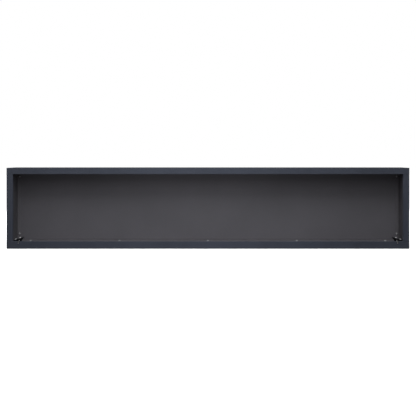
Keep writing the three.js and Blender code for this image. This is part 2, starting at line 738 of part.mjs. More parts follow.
// Wheel: blades between three discs, on a shaft.
function blowerWheel() {
  const { blades, chord, thick, at, pitch, disc, shaftEnds } = WHEEL;
  const plate = (x) => bar("x", WHEEL_R, [0, 0], [x - disc / 2, x + disc / 2], 40);
  const blade = (i) => {
    const g = new THREE.BoxGeometry(2 * WHEEL_HALF, chord, thick);
    g.rotateX(THREE.MathUtils.degToRad(pitch));
    g.translate(0, at, 0);
    g.rotateX((i / blades) * 2 * Math.PI);
    return toSolid(g);
  };
  return join(
    ...[-WHEEL_HALF + disc / 2, 0, WHEEL_HALF - disc / 2].map(plate),
    ...Array.from({ length: blades }, (_, i) => blade(i)),
    bar("x", SHAFT_R, [0, 0], [-WHEEL_HALF - shaftEnds[0], WHEEL_HALF + shaftEnds[1]], 12),
  );
}

// Scroll: a curved back, a tongue in front, and end plates that carry the shaft.
function blowerScroll() {
  const { half, radius, sheet, top, front, tongue, low } = SCROLL;
  const START = 0.2; // radians from level, where the curve meets the straight back
  const END = -2.0;
  const rear = radius + sheet;
  const back = new THREE.Shape();
  back.moveTo(rear, top);
  back.lineTo(radius, top);
  back.absarc(0, 0, radius, START, END, true);
  back.absarc(0, 0, rear, END, START, false);
  back.lineTo(rear, top);
  const endPlate = (x) => box([x, x + sheet], [front - sheet, rear], [low, top]);
  return cut(
    join(
      prism("x", back, [-half, half], [], 12),
      prism("x", rect([front - sheet, front], [tongue, top]).reverse(), [-half, half]),
      endPlate(-half),
      endPlate(half - sheet),
    ),
    bar("x", SHAFT_R + RUNNING, [0, 0], [-half - 1, half + 1], 16),
  );
}

// Shaded-pole motor on the scroll's right end: a stack with a round rotor bore, and a coil.
function shadedPoleMotor() {
  const { gap, stack, half, low, top, coilLow, coilHalf, bore } = SHADED;
  const start = SCROLL.half + gap;
  const end = start + stack;
  const OVERHANG = 4; // how far the coil and the bearings stand out of the stack
  return cut(
    join(
      box([start, end], [-half, half], [low, top]),
      box([start - OVERHANG, end + OVERHANG], [-coilHalf, coilHalf], [coilLow, low]),
      bar("x", bore, [0, 0], [start - OVERHANG - 1, end + OVERHANG + 1], 20),
    ),
    bar("x", SHAFT_R + RUNNING, [0, 0], [SCROLL.half, end - OVERHANG], 16),
  );
}

// The element's case is a frame over the scroll's mouth. Air rises through the element's fins.
function heaterCase() {
  const { half, y, low, high, sheet } = HEATER;
  const inner = rect([-half + sheet, half - sheet], [y[0] + sheet, y[1] - sheet]);
  return prism("z", rect([-half, half], y), [low, high], [inner]);
}

function heatingElement() {
  const { half, y, low, high, sheet, fins, margin } = HEATER;
  const pitch = (2 * half - 2 * margin) / fins;
  const FRAME = 5; // the element's frame, in front of and behind the fins
  const OPEN = 0.8; // the open part of each pitch
  const gaps = Array.from({ length: fins }, (_, i) => {
    const x = -half + margin + (i + 0.5) * pitch;
    return rect([x - (pitch * OPEN) / 2, x + (pitch * OPEN) / 2], [y[0] + FRAME, y[1] - FRAME]);
  });
  const wall = sheet + GAP;
  const outline = rect([-half + wall, half - wall], [y[0] + wall, y[1] - wall]);
  return prism("z", outline, [low + 3, high - 3], gaps);
}

// Thermal cut-out on the case's end: a round body with two tags.
function thermalCutout() {
  const { half, low, high } = HEATER;
  const z = (low + high) / 2;
  const BODY = { radius: 8, length: 9 };
  const TAG = { length: 6.2, half: 3, y: 4.8, thick: 1.2 };
  const end = half + BODY.length;
  const tagX = [end - SINK, end - SINK + TAG.length];
  const tag = (y) => box(tagX, [y, y + TAG.thick], [z - TAG.half, z + TAG.half]);
  return join(
    bar("x", BODY.radius, [0, z], [half + GAP, end], 20),
    tag(TAG.y),
    tag(-TAG.y - TAG.thick),
  );
}

function buildHeater() {
  const heater = group([0, BLOWER_Y, BLOWER_Z]);
  place(heater, "blower_wheel", blowerWheel(), FINISH.foil());
  place(heater, "blower_scroll", blowerScroll(), FINISH.zinc());
  place(heater, "blower_motor", shadedPoleMotor(), FINISH.copper());
  place(heater, "heater_case", heaterCase(), FINISH.zinc());
  place(heater, "heating_element", heatingElement(), FINISH.foil());
  place(heater, "thermal_cutout", thermalCutout(), FINISH.whitePlastic());
}

// ---------------------------------------------------------------- controls

// Places along the panel, from its centre. Up is into the ceiling.
const BUTTON_X = [-6, 14, 34];
const BUTTON = { radius: 4.6, collar: 5.8, low: -3.4, high: 6.2, collarThick: 1.2 };
const BEZEL = { face: [61, 19], thick: 1.5, skirt: [54, 13], skirtWall: 1.4, skirtHigh: 5 };
const BOSS = { radius: 2, places: [[4, -9], [4, 9], [24, -9], [24, 9]] };
const ROCKER = { x: -36, half: 9.2, depth: 6, tilt: 7, high: 3, ends: -4.4, middle: -3, pivot: 1 };
const SOCKET = { hole: [10.2, 6.6], wall: [11.2, 7.9], top: 11.5, pins: [-6, 0, 6] };
const LENS = { x: 48.5, hole: [3.5, 4], flange: [3.7, 5], top: 2 };
const BOARD_LOW = 13;
const BOARD_THICK = 1.6;

const centred = (x, y, [halfX, halfY]) => rect([x - halfX, x + halfX], [y - halfY, y + halfY]);

function controlBezel() {
  const { face, thick, skirt, skirtWall, skirtHigh } = BEZEL;
  const root = -GAP - SINK; // the skirt and bosses start inside the face plate
  const inside = skirt.map((half) => half - skirtWall);
  const holes = [centred(ROCKER.x, 0, SOCKET.hole), centred(LENS.x, 0, LENS.hole)];
  return cut(
    join(
      prism("z", centred(0, 0, face), [-GAP - thick, -GAP], holes),
      prism("z", centred(0, 0, skirt), [root, skirtHigh], [centred(0, 0, inside)]),
      ...BOSS.places.map((at) => bar("z", BOSS.radius, at, [root, BOARD_LOW - GAP], 12)),
    ),
    ...BUTTON_X.map((x) => bar("z", BUTTON.radius + RUNNING, [x, 0], [-5, 3], 24)),
  );
}

function buttonCap() {
  const { radius, collar, low, high, collarThick } = BUTTON;
  return join(
    bar("z", radius, [0, 0], [low, high], 24),
    bar("z", collar, [0, 0], [0, collarThick], 24),
  );
}

// The rocker's face is two planes that meet over its pivot.
function rockerCap() {
  const { half, depth, high, ends, middle } = ROCKER;
  const TAPER = 0.9;
  return prism("y", [
    [-half, ends],
    [0, middle],
    [half, ends],
    [half * TAPER, high],
    [-half * TAPER, high],
  ], [-depth, depth]);
}

// Rocker housing: an open box round the rocker, with three blades for the leads on top.
function rockerHousing() {
  const { hole, wall, top, pins } = SOCKET;
  const LID = 1.5;
  const BLADE = { halfX: 0.4, halfY: 2.4, length: 6.5 };
  return join(
    prism("z", centred(0, 0, wall), [0, top - LID + SINK], [centred(0, 0, hole)]),
    box([-wall[0], wall[0]], [-wall[1], wall[1]], [top - LID, top]),
    ...pins.map((x) =>
      box(
        [x - BLADE.halfX, x + BLADE.halfX],
        [-BLADE.halfY, BLADE.halfY],
        [top - SINK, top + BLADE.length],
      ),
    ),
  );
}

// Receiver window: a lens that fills its hole, with a flange behind the bezel.
function receiverWindow() {
  const { x, hole, flange, top } = LENS;
  const inHole = hole.map((half) => half - GAP);
  return join(
    prism("z", centred(x, 0, inHole), [-GAP - BEZEL.thick, top]),
    prism("z", centred(x - 0.4, 0, [flange[0] + 0.4, flange[1]]), [0, top]),
  );
}

// Switch board on the bezel's bosses, with a switch over each button.
function switchBoard() {
  const BOARD = { x: [-20, 52], half: 11 };
  const SWITCH = { half: 3, low: 8 };
  return join(
    box(BOARD.x, [-BOARD.half, BOARD.half], [BOARD_LOW, BOARD_LOW + BOARD_THICK]),
    ...BUTTON_X.map((x) =>
      box([x - SWITCH.half, x + SWITCH.half], [-SWITCH.half, SWITCH.half], [SWITCH.low, BOARD_LOW + SINK]),
    ),
  );
}

// Main board, upright at y = -7 on four posts from the rear cover.
const MAIN_BOARD = { x: 480, z: 240, half: [78, 48], face: -7, post: [70, 40], postRadius: 3 };

function mainBoard() {
  const { half, face, post, postRadius } = MAIN_BOARD;
  const front = face - BOARD_THICK;
  const seat = front + 0.6; // the components' own feet sink into the board
  const posts = [[-1, -1], [1, -1], [-1, 1], [1, 1]].map(([sx, sz]) =>
    bar("y", postRadius, [sx * post[0], sz * post[1]], [face, 0], 8),
  );
  const transformer = box([-64, -30], [-34, seat], [-34, -2]);
  const relays = [-16, 12].map((x) => box([x, x + 22], [-24, seat], [-36, -18]));
  const terminals = box([-40, 60], [-18, seat], [26, 38]);
  const capacitor = bar("y", 9, [52, -20], [-32, seat], 16);
  const processor = box([-10, 30], [-11, seat], [-8, 8]);
  const board = box([-half[0], half[0]], [front, face], [-half[1], half[1]]);
  return join(board, ...posts, transformer, ...relays, terminals, capacitor, processor);
}

function buildControls() {
  const panel = group([PANEL_X, PANEL_Y, CEILING_LOW]);
  place(panel, "control_bezel", controlBezel(), FINISH.blackPlastic());
  const cap = buttonCap();
  ["flame_button", "heat_button", "timer_button"].forEach((name, i) =>
    place(panel, name, cap, FINISH.blackPlastic(), [BUTTON_X[i], 0, 0]),
  );
  // The rocker turns about Y in its housing. Here it is off: tilted to one side.
  const rocker = place(panel, "power_rocker", rockerCap(), FINISH.blackPlastic(), [
    ROCKER.x,
    0,
    ROCKER.pivot,
  ]);
  rocker.rotation.y = THREE.MathUtils.degToRad(ROCKER.tilt);
  place(panel, "rocker_housing", rockerHousing(), FINISH.blackPlastic(), [ROCKER.x, 0, 0]);
  place(panel, "receiver_window", receiverWindow(), FINISH.gloss());
  place(panel, "switch_board", switchBoard(), FINISH.board());

  const main = group([MAIN_BOARD.x, REAR_COVER_FRONT - GAP, MAIN_BOARD.z]);
  place(main, "control_board", mainBoard(), FINISH.board());
}

// ---------------------------------------------------------------- supply

// A lead along a smooth curve through the points.
function lead(points, radius) {
  const through = points.map((p) => new THREE.Vector3(...p));
  const extrudePath = new THREE.CatmullRomCurve3(through, false, "centripetal");
  const SIDES = 8;
  const section = new THREE.Shape(
    Array.from({ length: SIDES }, (_, i) => {
      const a = (i / SIDES) * 2 * Math.PI;
      return new THREE.Vector2(radius * Math.cos(a), radius * Math.sin(a));
    }),
  );
  return toSolid(new THREE.ExtrudeGeometry(section, { extrudePath, steps: 48, bevelEnabled: false }));
}

// Junction cover behind the side panel's window, with a pressed ring round the knock-out.
function junctionCover() {
  const [y0, y1] = JUNCTION.y;
  const [z0, z1] = JUNCTION.z;
  const { lap, ring } = JUNCTION;
  const middle = [(y0 + y1) / 2, (z0 + z1) / 2];
  const outer = HALF - SHEET - GAP;
  const pressed = cut(
    bar("x", ring.radius, middle, [outer - SINK, outer + ring.height], 28),
    bar("x", ring.radius - ring.width, middle, [outer, outer + 1], 28),
  );
  return join(box([outer - SHEET, outer], [y0 - lap, y1 + lap], [z0 - lap, z1 + lap]), pressed);
}

// Three-way terminal block between the junction cover and the machine space.
const TERMINALS = { x: [880, 892], y: [36, 64], z: [124, 150], ways: [42, 50, 58], hole: 2.6, holeZ: 143 };

function terminalBlock() {
  const { x, y, z, ways, hole, holeZ } = TERMINALS;
  return cut(box(x, y, z), ...ways.map((way) => bar("x", hole, [way, holeZ], [x[1] - 6, x[1] + 1], 10)));
}

// Supply lead: terminal block to main board. Heater lead: main board to the heater's case.
const SUPPLY_ROUTE = [
  [886, 50, 150.6],
  [886, 52, 176],
  [868, 60, 214],
  [800, 68, 236],
  [720, 71, 246],
  [640, 71, 262],
  [580, 70, 292],
  [545, 67, 308],
  [526, 65.5, 301],
  [520, 65.5, 279],
];
const HEATER_ROUTE = [
  [430, 60, 279],
  [420, 60, 292],
  [380, 62, 312],
  [300, 64, 330],
  [220, 62, 342],
  [166, 54, 342],
  [138, 48, 333],
];

function buildSupply() {
  const supply = group();
  place(supply, "junction_cover", junctionCover(), FINISH.zinc());
  place(supply, "terminal_block", terminalBlock(), FINISH.whitePlastic());
  place(supply, "supply_lead", lead(SUPPLY_ROUTE, 3), FINISH.cable());
  place(supply, "heater_lead", lead(HEATER_ROUTE, 2.5), FINISH.cable());
}

buildFrame();
buildCasing();
buildHangers();
buildRecess();
buildScrews();
buildGlassFittings();
buildFlameMechanism();
buildHeater();
buildControls();
buildSupply();

export default fireplace;
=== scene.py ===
"""The looks of a linear electric fireplace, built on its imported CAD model."""

import json
import math

import bmesh
import bpy
from mathutils import Matrix, Vector


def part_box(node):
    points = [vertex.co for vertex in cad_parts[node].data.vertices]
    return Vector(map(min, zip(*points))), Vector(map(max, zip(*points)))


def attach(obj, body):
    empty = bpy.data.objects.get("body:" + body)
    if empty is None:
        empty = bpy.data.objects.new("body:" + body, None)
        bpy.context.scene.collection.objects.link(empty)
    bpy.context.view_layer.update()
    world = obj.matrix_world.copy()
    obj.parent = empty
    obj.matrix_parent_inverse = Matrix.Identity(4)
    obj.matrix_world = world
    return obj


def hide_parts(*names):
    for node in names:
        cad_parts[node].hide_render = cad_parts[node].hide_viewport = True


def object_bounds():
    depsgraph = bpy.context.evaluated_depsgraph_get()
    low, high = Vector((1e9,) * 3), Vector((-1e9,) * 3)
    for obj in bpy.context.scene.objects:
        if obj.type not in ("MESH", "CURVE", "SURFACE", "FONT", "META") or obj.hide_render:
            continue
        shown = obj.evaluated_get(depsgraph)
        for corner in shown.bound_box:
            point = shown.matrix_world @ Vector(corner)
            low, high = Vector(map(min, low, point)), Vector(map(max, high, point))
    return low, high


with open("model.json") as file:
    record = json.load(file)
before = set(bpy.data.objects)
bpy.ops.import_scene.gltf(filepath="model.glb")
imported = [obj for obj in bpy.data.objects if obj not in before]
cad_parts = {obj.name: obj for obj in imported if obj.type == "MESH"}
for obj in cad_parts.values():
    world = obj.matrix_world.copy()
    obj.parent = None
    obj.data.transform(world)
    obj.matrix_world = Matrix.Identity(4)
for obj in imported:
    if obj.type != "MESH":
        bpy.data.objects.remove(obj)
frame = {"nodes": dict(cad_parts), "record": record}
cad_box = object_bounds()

MM = 0.001
LOW, HIGH = cad_box
NODES = frame["nodes"]
SLOT_OF = {s["node"]: s["material_slot"] for s in frame["record"]["subparts"]}
BODY_OF = {n: body for body, names in frame["record"]["behaviour"]["bodies"].items() for n in names}


# ---------------------------------------------------------------- camera

# The camera looks level along +Y from just above the top. Its shift centres the object in the view.
FRAME_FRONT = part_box("frame_top_rail")[0].y
CAMERA_PLACE = (0.027, FRAME_FRONT - 3.42, HIGH.z + 0.049)
CAMERA_LENS = 66.255
CAMERA_SENSOR = 36
CAMERA_SHIFT = (-0.0144, -0.1229)
CAMERA_REACH = 60


def add_camera():
    camera = bpy.data.cameras.new("camera")
    camera.lens = CAMERA_LENS
    camera.sensor_width = CAMERA_SENSOR
    camera.shift_x, camera.shift_y = CAMERA_SHIFT
    camera.clip_end = CAMERA_REACH
    made = bpy.data.objects.new("camera", camera)
    made.location = CAMERA_PLACE
    made.rotation_euler = (math.radians(90), 0, 0)
    bpy.context.scene.collection.objects.link(made)
    bpy.context.scene.camera = made


# ---------------------------------------------------------------- materials
#
# Each recipe is a colour with its variation, a roughness with its variation, and a fine bump. Noise
# scales are features per metre, so 2000 is a grain of half a millimetre. Bump distances are in metres.


class Nodes:
    """A material's node tree, with short calls to add and join nodes."""

    def __init__(self, name):
        self.material = bpy.data.materials.new(name)
        self.material.use_nodes = True
        self.tree = self.material.node_tree
        self.shader = self.tree.nodes["Principled BSDF"]
        self.place = self.tree.nodes.new("ShaderNodeTexCoord").outputs["Object"]

    def add(self, kind, **settings):
        node = self.tree.nodes.new("ShaderNode" + kind)
        for key, value in settings.items():
            setattr(node, key, value)
        return node

    def join(self, source, target):
        self.tree.links.new(source, target)

    def scaled(self, factors):
        """The object's own coordinates, in metres, scaled along X, Y and Z."""
        node = self.add("Mapping")
        node.inputs["Scale"].default_value = factors
        self.join(self.place, node.inputs["Vector"])
        return node.outputs["Vector"]

    def noise(self, scale, detail=3.0, roughness=0.55, stretch=(1, 1, 1)):
        node = self.add("TexNoise")
        node.inputs["Scale"].default_value = scale
        node.inputs["Detail"].default_value = detail
        node.inputs["Roughness"].default_value = roughness
        self.join(self.scaled(stretch), node.inputs["Vector"])
        return node.outputs["Fac"]

    def spread(self, value, low, high, start=0.3, end=0.7):
        """The value, from start to end, as a number from low to high."""
        node = self.add("MapRange")
        for key, number in zip(("From Min", "From Max", "To Min", "To Max"), (start, end, low, high)):
            node.inputs[key].default_value = number
        self.join(value, node.inputs["Value"])
        return node.outputs["Result"]

    def mix(self, factor, a, b):
        node = self.add("Mix", data_type="RGBA")
        for socket, source in ((node.inputs["Factor"], factor), (node.inputs[6], a), (node.inputs[7], b)):
            if isinstance(source, bpy.types.NodeSocket):
                self.join(source, socket)
            else:
                socket.default_value = source if isinstance(source, (int, float)) else (*source, 1)
        return node.outputs[2]

    def bump(self, height, strength, distance, under=None):
        node = self.add("Bump")
        node.inputs["Strength"].default_value = strength
        node.inputs["Distance"].default_value = distance
        self.join(height, node.inputs["Height"])
        if under is not None:
            self.join(under, node.inputs["Normal"])
        return node.outputs["Normal"]

    def set(self, **values):
        """Sets the shader's own sockets."""
        for key, value in values.items():
            self.shader.inputs[key.replace("_", " ")].default_value = value


def shade(colour, factor):
    """The colour, darker or paler by a factor."""
    return tuple(min(1.0, c * factor) for c in colour)


def powder_coat(name, colour, rough, contrast=0.10, peel=0.35, painted_shade_by_facing=None, level=0.35):
    """Baked powder coat: orange peel, a faint mottle, flecks and slightly paler edges.

    Faces can be given painted shade: factors along X, Y and Z darken the colour of faces that turn those
    ways, as if less light fell on them."""
    n = Nodes(name)
    mottle = n.spread(n.noise(7, 4), 0, 1)
    body = n.mix(mottle, shade(colour, 1 - contrast), shade(colour, 1 + contrast))
    if painted_shade_by_facing:
        # Painted shade: the colour is scaled by the squared normal weighted by the factors, so faces turned
        # away from the front look darker.
        squares = n.add("VectorMath", operation="MULTIPLY")
        for socket in squares.inputs[:2]:
            n.join(n.tree.nodes["Texture Coordinate"].outputs["Normal"], socket)
        cover = n.add("VectorMath", operation="DOT_PRODUCT")
        n.join(squares.outputs["Vector"], cover.inputs[0])
        cover.inputs[1].default_value = painted_shade_by_facing
        dimmed = n.add("VectorMath", operation="SCALE")
        n.join(body, dimmed.inputs[0])
        n.join(cover.outputs["Value"], dimmed.inputs["Scale"])
        body = dimmed.outputs["Vector"]
    fleck = n.spread(n.noise(2600, 1), 0, 1, 0.62, 0.72)
    body = n.mix(fleck, body, shade(colour, 1.5))
    edge = n.spread(n.add("NewGeometry").outputs["Pointiness"], 0, 0.25, 0.52, 0.6)
    body = n.mix(edge, body, shade(colour, 1.4))
    n.join(body, n.shader.inputs["Base Color"])
    n.join(n.spread(n.noise(28, 5), rough - 0.06, rough + 0.06), n.shader.inputs["Roughness"])
    wave = n.bump(n.noise(420, 2), peel, 0.15 * MM)
    n.join(n.bump(n.noise(1800, 1), peel * 0.6, 0.05 * MM, wave), n.shader.inputs["Normal"])
    n.set(Specular_IOR_Level=level)
    return n.material


def projection_surface(name, colour):
    """The screen: a fine sprayed satin that scatters the flame light."""
    n = Nodes(name)
    cloud = n.spread(n.noise(4, 3), 0, 1)
    body = n.mix(cloud, shade(colour, 0.93), shade(colour, 1.07))
    speck = n.spread(n.noise(1500, 2), 0, 1, 0.58, 0.7)
    n.join(n.mix(speck, body, shade(colour, 1.35)), n.shader.inputs["Base Color"])
    n.join(n.spread(n.noise(60, 3), 0.52, 0.62), n.shader.inputs["Roughness"])
    n.join(n.bump(n.noise(2200, 2), 0.3, 0.04 * MM), n.shader.inputs["Normal"])
    n.set(Specular_IOR_Level=0.35)
    return n.material


def plated_steel(name, colour, rough=0.34, stretch=(1, 1, 1), metallic=1.0):
    """Zinc plate: bright, slightly clouded, with rolling marks along the stretch."""
    n = Nodes(name)
    cloud = n.spread(n.noise(130, 4), 0, 1)
    body = n.mix(cloud, shade(colour, 0.8), shade(colour, 1.1))
    stain = n.spread(n.noise(26, 5), 0, 0.5, 0.56, 0.75)
    n.join(n.mix(stain, body, shade(colour, 0.55)), n.shader.inputs["Base Color"])
    n.join(n.spread(n.noise(300, 4), rough - 0.08, rough + 0.12), n.shader.inputs["Roughness"])
    n.join(n.bump(n.noise(700, 3, stretch=stretch), 0.25, 0.06 * MM), n.shader.inputs["Normal"])
    n.set(Metallic=metallic)
    return n.material


def moulded(name, colour, rough, spark=0.35):
    """Moulded plastic with a spark-eroded grain and a faint flow mottle."""
    n = Nodes(name)
    flow = n.spread(n.noise(45, 3), 0, 1)
    n.join(n.mix(flow, shade(colour, 0.88), shade(colour, 1.14)), n.shader.inputs["Base Color"])
    n.join(n.spread(n.noise(220, 3), rough - 0.05, rough + 0.07), n.shader.inputs["Roughness"])
    n.join(n.bump(n.noise(2400, 2), spark, 0.05 * MM), n.shader.inputs["Normal"])
    return n.material


def lens(name, colour):
    """Polished dark plastic, with a clear coat for its gloss."""
    n = Nodes(name)
    tone = n.spread(n.noise(60, 2), 0, 1)
    n.join(n.mix(tone, shade(colour, 0.8), shade(colour, 1.3)), n.shader.inputs["Base Color"])
    n.join(n.spread(n.noise(200, 3), 0.06, 0.12), n.shader.inputs["Roughness"])
    n.set(Coat_Weight=0.6, Coat_Roughness=0.05)
    return n.material


def circuit_board(name, colour, track):
    """Solder mask over copper tracks, which show as a paler, raised maze."""
    n = Nodes(name)
    cells = n.add("TexBrick", offset=0.5, squash=1.0)
    cells.inputs["Scale"].default_value = 60
    cells.inputs["Mortar Size"].default_value = 0.03
    n.join(n.scaled((1, 1, 1)), cells.inputs["Vector"])
    lines = cells.outputs["Fac"]
    tone = n.spread(n.noise(90, 2), 0, 1)
    n.join(n.mix(lines, n.mix(tone, shade(colour, 0.85), colour), track), n.shader.inputs["Base Color"])
    n.join(n.spread(n.noise(160, 2), 0.32, 0.45), n.shader.inputs["Roughness"])
    n.join(n.bump(lines, 0.3, 0.04 * MM), n.shader.inputs["Normal"])
    return n.material


def sheath(name, colour):
    """A lead's matt, slightly scuffed sheath."""
    n = Nodes(name)
    scuff = n.spread(n.noise(80, 4), 0, 1)
    n.join(n.mix(scuff, shade(colour, 0.85), shade(colour, 1.3)), n.shader.inputs["Base Color"])
    n.join(n.spread(n.noise(120, 3), 0.5, 0.66), n.shader.inputs["Roughness"])
    n.join(n.bump(n.noise(900, 2), 0.3, 0.05 * MM), n.shader.inputs["Normal"])
    return n.material


# The record's material slots, and four looks that share them: the casing's coat (the anthracite coat with
# painted shade, darkest on faces along Z, a little on faces along X), bright_zinc and pale_zinc (screws) and
# mark_paint (on the rocker).
ANTHRACITE = (0.0325, 0.0375, 0.052)
ALONG_X = (0.02, 1, 1)
ALONG_Y = (1, 0.05, 1)
MATERIALS = {
    "anthracite_coat": powder_coat("anthracite_coat", ANTHRACITE, 0.52),
    # Painted shade: the recess walls (faces along X) are darkened to 0.35 and its floor and ceiling to 0.64,
    # for the shade inside the recess.
    "recess_coat": powder_coat(
        "recess_coat", (0.070, 0.068, 0.076), 0.6, peel=0.25, painted_shade_by_facing=(0.35, 1.0, 0.64)
    ),
    # Painted shade: faces along Z are darkened to 0.4 and faces along X to 0.9.
    "casing_coat_painted_shade": powder_coat("casing_coat_painted_shade", ANTHRACITE, 0.52, painted_shade_by_facing=(0.9, 1.0, 0.4)),
    # Near black with little sheen: the glass brackets' own black paint, made dark enough to also stand for
    # the shade under their rolled edges, so it is partly painted shade.
    "black_coat": powder_coat("black_coat", (0.003, 0.003, 0.004), 0.5, level=0.12),
    "screen_surface": projection_surface("screen_surface", (0.070, 0.068, 0.077)),
    "zinc_steel": plated_steel("zinc_steel", (0.46, 0.46, 0.46)),
    "bright_zinc": plated_steel("bright_zinc", (0.33, 0.33, 0.345), 0.42, metallic=0.6),
    "pale_zinc": plated_steel("pale_zinc", (0.72, 0.72, 0.74), 0.42, metallic=0.5),
    "bright_foil": plated_steel("bright_foil", (0.78, 0.78, 0.80), 0.22, ALONG_X),
    "white_plastic": moulded("white_plastic", (0.66, 0.64, 0.60), 0.5),
    "black_plastic": moulded("black_plastic", (0.020, 0.020, 0.022), 0.42),
    "mark_paint": moulded("mark_paint", (0.55, 0.55, 0.53), 0.6, 0.1),
    "dark_lens": lens("dark_lens", (0.012, 0.006, 0.010)),
    "green_board": circuit_board("green_board", (0.018, 0.10, 0.045), (0.05, 0.20, 0.07)),
    "white_board": circuit_board("white_board", (0.74, 0.74, 0.70), (0.82, 0.78, 0.66)),
    "motor_steel": plated_steel("motor_steel", (0.36, 0.24, 0.17), 0.42, ALONG_Y),
    "cable_sheath": sheath("cable_sheath", (0.020, 0.020, 0.022)),
}


def dress(piece, look):
    """Gives a piece one material."""
    piece.data.materials.clear()
    piece.data.materials.append(MATERIALS[look])


def dress_cad():
    """Gives every CAD node its slot's material."""
    for name, node in NODES.items():
        for slot in node.material_slots:
            slot.material = MATERIALS[SLOT_OF[name]]
        if not node.material_slots:
            node.data.materials.append(MATERIALS[SLOT_OF[name]])


# ---------------------------------------------------------------- making pieces

MERGE = 0.002 * MM  # vertices nearer than this are one
FLAT = math.radians(0.5)  # faces that turn less than this are one
SHARP = math.radians(40)  # edges that turn more than this are rounded
FOLD_LENGTH = 20 * MM  # a fold is at least this long
FOLD_FACE = 3 * MM  # and each face beside it at least this wide
TURNED_SMOOTH = 35  # degrees: faces of turned pieces that meet at less than this are smooth


def piece_from(bm, name, slot, body, smooth_below=None, look=None):
    """Links a new piece, dressed and riding on its body. Faces turned less than the limit are smooth."""
    mesh = bpy.data.meshes.new(name)
    bm.to_mesh(mesh)
    bm.free()
    if smooth_below is not None:
        mesh.shade_smooth()
        mesh.set_sharp_from_angle(angle=math.radians(smooth_below))
    made = bpy.data.objects.new(name, mesh)
    bpy.context.scene.collection.objects.link(made)
    dress(made, look or slot)
    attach(made, body)
    return made


def carve(bm, tools):
    """The bmesh with the tools' bmesh taken out of it."""
    objects = []
    for source in (bm, tools):
        mesh = bpy.data.meshes.new("carve")
        source.to_mesh(mesh)
        source.free()
        objects.append(bpy.data.objects.new("carve", mesh))
        bpy.context.scene.collection.objects.link(objects[-1])
    solid, tool = objects
    boolean = solid.modifiers.new("cut", "BOOLEAN")
    boolean.operation = "DIFFERENCE"
    boolean.solver = "EXACT"
    boolean.object = tool
    done = bmesh.new()
    done.from_object(solid, bpy.context.evaluated_depsgraph_get())
    for each in objects:
        bpy.data.objects.remove(each)
    return done


def face_width(face):
    """About how wide a long face is."""
    return face.calc_area() / max(e.calc_length() for e in face.edges)


def sharp_edges(bm):
    return [e for e in bm.edges if len(e.link_faces) == 2 and e.calc_face_angle(0) > SHARP]


def is_fold(edge):
    """Whether two broad faces meet outward at the edge."""
    broad = min(map(face_width, edge.link_faces)) > FOLD_FACE
    return edge.is_convex and edge.calc_length() > FOLD_LENGTH and broad


def round_over(bm, edges, radius, segments):
    """Rounds the edges, where there are any and the radius isn't 0."""
    if not (edges and radius):
        return
    made = bmesh.ops.bevel(
        bm, geom=edges, offset=radius, segments=segments, profile=0.5, affect="EDGES", clamp_overlap=True
    )
    for face in made["faces"]:
        face.smooth = True


def round_edges(bm, fold, edge):
    """Rounds the folds by one radius, and then what is still sharp by another."""
    round_over(bm, [e for e in sharp_edges(bm) if is_fold(e)], fold, 4)
    round_over(bm, sharp_edges(bm), edge, 2)


def refined(node, fold=1.2 * MM, edge=0.25 * MM, tools=None, look=None):
    """A copy of a CAD node with its folds and edges rounded, which stands for it."""
    bm = bmesh.new()
    bm.from_mesh(NODES[node].data)
    bmesh.ops.remove_doubles(bm, verts=bm.verts, dist=MERGE)
    if tools is not None:
        bm = carve(bm, tools)
        bmesh.ops.remove_doubles(bm, verts=bm.verts, dist=MERGE)
    bmesh.ops.dissolve_limit(bm, angle_limit=FLAT, verts=bm.verts, edges=bm.edges)
    round_edges(bm, fold, edge)
    made = piece_from(bm, node + "_piece", SLOT_OF[node], BODY_OF[node], look=look)
    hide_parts(node)


def revolve(profile, sides):
    """A closed solid turned about Z from (radius, height) points that start and end on the axis."""
    bm = bmesh.new()
    verts = [bm.verts.new((r, 0, z)) for r, z in profile]
    edges = [bm.edges.new(pair) for pair in zip(verts, verts[1:])]
    bmesh.ops.spin(
        bm, geom=verts + edges, cent=(0, 0, 0), axis=(0, 0, 1), angle=2 * math.pi, steps=sides
    )
    bmesh.ops.remove_doubles(bm, verts=bm.verts, dist=MERGE / 2)
    bmesh.ops.recalc_face_normals(bm, faces=bm.faces)
    return bm


def turned_to(direction):
    """The turn that points +Z in a direction."""
    return Vector((0, 0, 1)).rotation_difference(Vector(direction)).to_matrix().to_4x4()


# ---------------------------------------------------------------- screws


def cross_recess(size, depth):
    """A tool for a cross-shaped driver recess, its mouth at z = 0 and narrower at its foot."""
    arm = size * 0.2
    quarter = [(size, -arm), (size, arm), (arm, arm)]
    outline = [Matrix.Rotation(math.radians(90 * i), 2) @ Vector(p) for i in range(4) for p in quarter]
    bm = bmesh.new()
    foot, mouth = (
        [bm.verts.new((p.x * scale, p.y * scale, z)) for p in outline]
        for scale, z in ((0.45, -depth), (1.0, 0.5 * MM))
    )
    bm.faces.new(foot[::-1])
    bm.faces.new(mouth)
    for i in range(len(outline)):
        bm.faces.new((foot[i - 1], foot[i], mouth[i], mouth[i - 1]))
    bmesh.ops.recalc_face_normals(bm, faces=bm.faces)
    return bm


def pan_head(radius, height, shank, length):
    """A pan-head screw along Z, its head's underside at z = 0."""
    dome = [
        (radius * math.cos(a), height * (0.42 + 0.58 * math.sin(a)))
        for a in (math.radians(d) for d in (0, 15, 30, 45, 60, 75))
    ]
    profile = [(0, -length), (shank * 0.8, -length), (shank, -length * 0.9), (shank, 0)]
    profile += [(radius * 0.97, 0), (radius, height * 0.1), *dome, (0, height)]
    bm = revolve(profile, 32)
    tool = cross_recess(radius * 0.52, height * 0.55)
    bmesh.ops.translate(tool, vec=(0, 0, height), verts=tool.verts)
    return carve(bm, tool)


FLOOR_HEAD = 4.4 * MM  # head heights
SCREEN_HEAD = 3.0 * MM
SHANK_RADIUS = 2.1 * MM
SHANK_LENGTH = 6 * MM


